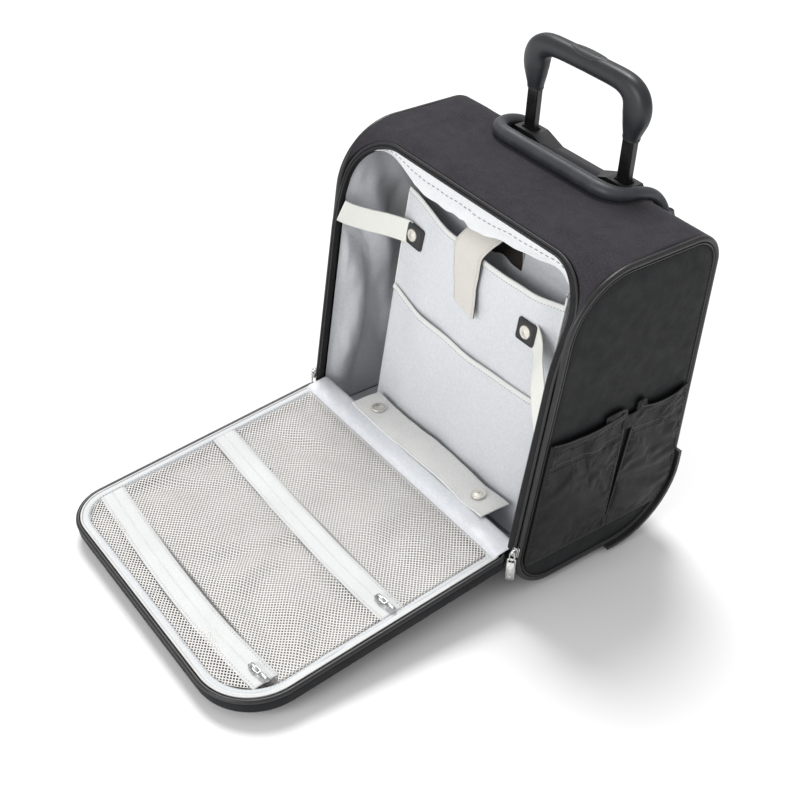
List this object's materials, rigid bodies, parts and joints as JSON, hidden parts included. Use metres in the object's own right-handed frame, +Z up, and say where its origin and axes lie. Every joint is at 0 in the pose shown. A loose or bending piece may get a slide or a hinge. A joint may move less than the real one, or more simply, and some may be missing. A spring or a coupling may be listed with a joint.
{
  "type": "pilot rolling flight case",
  "caption": "Soft-sided flight crew trolley case with a front-opening mesh-pocket lid, padded organizer, carry handle, telescoping grip and rear wheels.",
  "frame": {"origin": "under the middle of the whole object's box, on the floor, with the lid open", "axes": "+Z up, +Y towards the back where the wheels and trolley tubes are, +X across the case to the right of someone facing +Y"},
  "size_m": [0.373, 0.5476, 0.477],
  "materials": {
    "charcoal_fabric": "fine woven charcoal polyester",
    "black_fabric": "smooth black woven fabric",
    "black_piping": "satin black welt piping",
    "zip_tape_black": "black zip tape and coil",
    "silver_lining": "silver grey satin lining",
    "stiff_board": "black polypropylene board",
    "flap_fabric": "off-white coated fabric",
    "snap_metal": "brushed champagne snap caps",
    "alloy_tube": "anodised tube",
    "black_tube": "black anodised tube",
    "black_plastic": "fine grained black moulding",
    "grip_plastic": "satin dark grey moulding",
    "steel_parts": "steel",
    "foot_rubber": "matte rubber",
    "zip_tape_white": "off-white zip tape with nylon coil",
    "mesh_net": "off-white knitted net",
    "nickel": "bright nickel zip hardware",
    "closure_felt": "greige brushed fabric",
    "webbing": "off-white ribbed webbing",
    "tab_leather": "black coated leather",
    "wheel_tyre": "polyurethane tread",
    "wheel_hub": "moulded wheel core"
  },
  "bodies": {
    "case": {"side_panel_left": "black_fabric", "side_panel_right": "black_fabric", "side_piping": "black_piping", "top_panel": "charcoal_fabric", "back_panel": "black_fabric", "bottom_panel": "black_fabric", "front_sill": "black_fabric", "front_gusset": "black_fabric", "body_zip": "zip_tape_black", "lining": "silver_lining", "back_board": "stiff_board", "base_flap": "flap_fabric", "flap_snaps": "snap_metal", "side_pocket_left": "black_fabric", "side_pocket_right": "black_fabric", "outer_tubes": "alloy_tube", "tube_foot_bracket": "black_plastic", "trolley_bezel": "black_plastic", "carry_handle": "grip_plastic", "wheel_housing_left": "black_plastic", "wheel_housing_right": "black_plastic", "wheel_axles": "steel_parts", "front_feet": "foot_rubber", "fasteners": "steel_parts", "hinge_gusset": "black_fabric"},
    "lid": {"lid_panel": "charcoal_fabric", "lid_wall": "black_fabric", "lid_piping": "black_piping", "lid_lining": "silver_lining", "lid_zip": "zip_tape_white", "lid_mesh": "mesh_net", "mesh_zip_bands": "zip_tape_white"},
    "mesh_slider_near": {"mesh_slider_near": "nickel"},
    "mesh_pull_near": {"mesh_pull_near": "nickel"},
    "mesh_slider_far": {"mesh_slider_far": "nickel"},
    "mesh_pull_far": {"mesh_pull_far": "nickel"},
    "main_slider_left": {"main_slider_left": "nickel"},
    "main_pull_left": {"main_pull_left": "nickel"},
    "main_slider_right": {"main_slider_right": "nickel"},
    "main_pull_right": {"main_pull_right": "nickel"},
    "trolley_middle": {"middle_tubes": "black_tube"},
    "trolley_grip": {"inner_tubes": "black_tube", "grip": "grip_plastic", "button_spring": "steel_parts"},
    "release": {"grip_button": "black_plastic", "release_rods": "steel_parts"},
    "organizer": {"organizer_board": "silver_lining", "organizer_pocket": "silver_lining", "organizer_low_pocket": "silver_lining"},
    "closure": {"closure_strap": "closure_felt"},
    "strap_left": {"strap_left": "webbing", "strap_tab_left": "tab_leather"},
    "strap_right": {"strap_right": "webbing", "strap_tab_right": "tab_leather"},
    "wheel_left": {"wheel_tyre_left": "wheel_tyre", "wheel_hub_left": "wheel_hub"},
    "wheel_right": {"wheel_tyre_right": "wheel_tyre", "wheel_hub_right": "wheel_hub"}
  },
  "joints": [
    {"name": "lid_hinge", "type": "hinge", "parent": "case", "child": "lid", "pos_m": [0, 0.0456, 0.063], "axis": [-1, 0, 0], "range_deg": [0, 102.7]},
    {"name": "trolley_middle_slide", "type": "slide", "parent": "case", "child": "trolley_middle", "axis": [0, 0, 1], "range_m": [0, 0.22]},
    {"name": "trolley_grip_slide", "type": "slide", "parent": "trolley_middle", "child": "trolley_grip", "axis": [0, 0, 1], "range_m": [-0.04, 0.19]},
    {"name": "release_press", "type": "slide", "parent": "trolley_grip", "child": "release", "axis": [0, 0, -1], "range_m": [0, 0.003], "stiffness_N_per_m": 600, "springref_m": -0.003, "deforming": ["button_spring"]},
    {"name": "wheel_left_spin", "type": "hinge", "parent": "case", "child": "wheel_left", "pos_m": [-0.14, 0.2166, 0.032], "axis": [1, 0, 0], "continuous": true},
    {"name": "wheel_right_spin", "type": "hinge", "parent": "case", "child": "wheel_right", "pos_m": [0.14, 0.2166, 0.032], "axis": [1, 0, 0], "continuous": true},
    {"name": "main_slider_left_run", "type": "slide", "parent": "case", "child": "main_slider_left", "axis": [0, 0.108, 0.9942], "range_m": [0, 0.225]},
    {"name": "main_slider_right_run", "type": "slide", "parent": "case", "child": "main_slider_right", "axis": [0, 0.108, 0.9942], "range_m": [0, 0.225]},
    {"name": "main_pull_left_swing", "type": "hinge", "parent": "main_slider_left", "child": "main_pull_left", "pos_m": [-0.1775, 0.04252, 0.06808], "axis": [-1, 0, 0], "range_deg": [0, 150]},
    {"name": "main_pull_right_swing", "type": "hinge", "parent": "main_slider_right", "child": "main_pull_right", "pos_m": [0.1775, 0.04252, 0.06808], "axis": [-1, 0, 0], "range_deg": [0, 150]},
    {"name": "mesh_slider_near_run", "type": "slide", "parent": "lid", "child": "mesh_slider_near", "axis": [-1, 0, 0], "range_m": [0, 0.262]},
    {"name": "mesh_slider_far_run", "type": "slide", "parent": "lid", "child": "mesh_slider_far", "axis": [-1, 0, 0], "range_m": [0, 0.25]},
    {"name": "mesh_pull_near_swing", "type": "hinge", "parent": "mesh_slider_near", "child": "mesh_pull_near", "pos_m": [0.141, -0.08798, 0.05171], "axis": [0, -0.9936, -0.1132], "range_deg": [0, 160]},
    {"name": "mesh_pull_far_swing", "type": "hinge", "parent": "mesh_slider_far", "child": "mesh_pull_far", "pos_m": [0.134, -0.22509, 0.03608], "axis": [0, -0.9936, -0.1132], "range_deg": [0, 160]},
    {"name": "organizer_tilt", "type": "hinge", "parent": "case", "child": "organizer", "pos_m": [0, 0.1055, 0.02348], "axis": [-1, 0, 0], "range_deg": [0, 12]},
    {"name": "closure_lift", "type": "hinge", "parent": "organizer", "child": "closure", "pos_m": [0, 0.15293, 0.32288], "axis": [-1, 0, 0], "range_deg": [0, 33]},
    {"name": "strap_left_swing", "type": "hinge", "parent": "case", "child": "strap_left", "pos_m": [-0.1666, 0.0801, 0.266], "axis": [0, 0, 1], "range_deg": [-36, 0]},
    {"name": "strap_right_swing", "type": "hinge", "parent": "case", "child": "strap_right", "pos_m": [0.1666, 0.0801, 0.266], "axis": [0, 0, 1], "range_deg": [0, 36]}
  ]
}
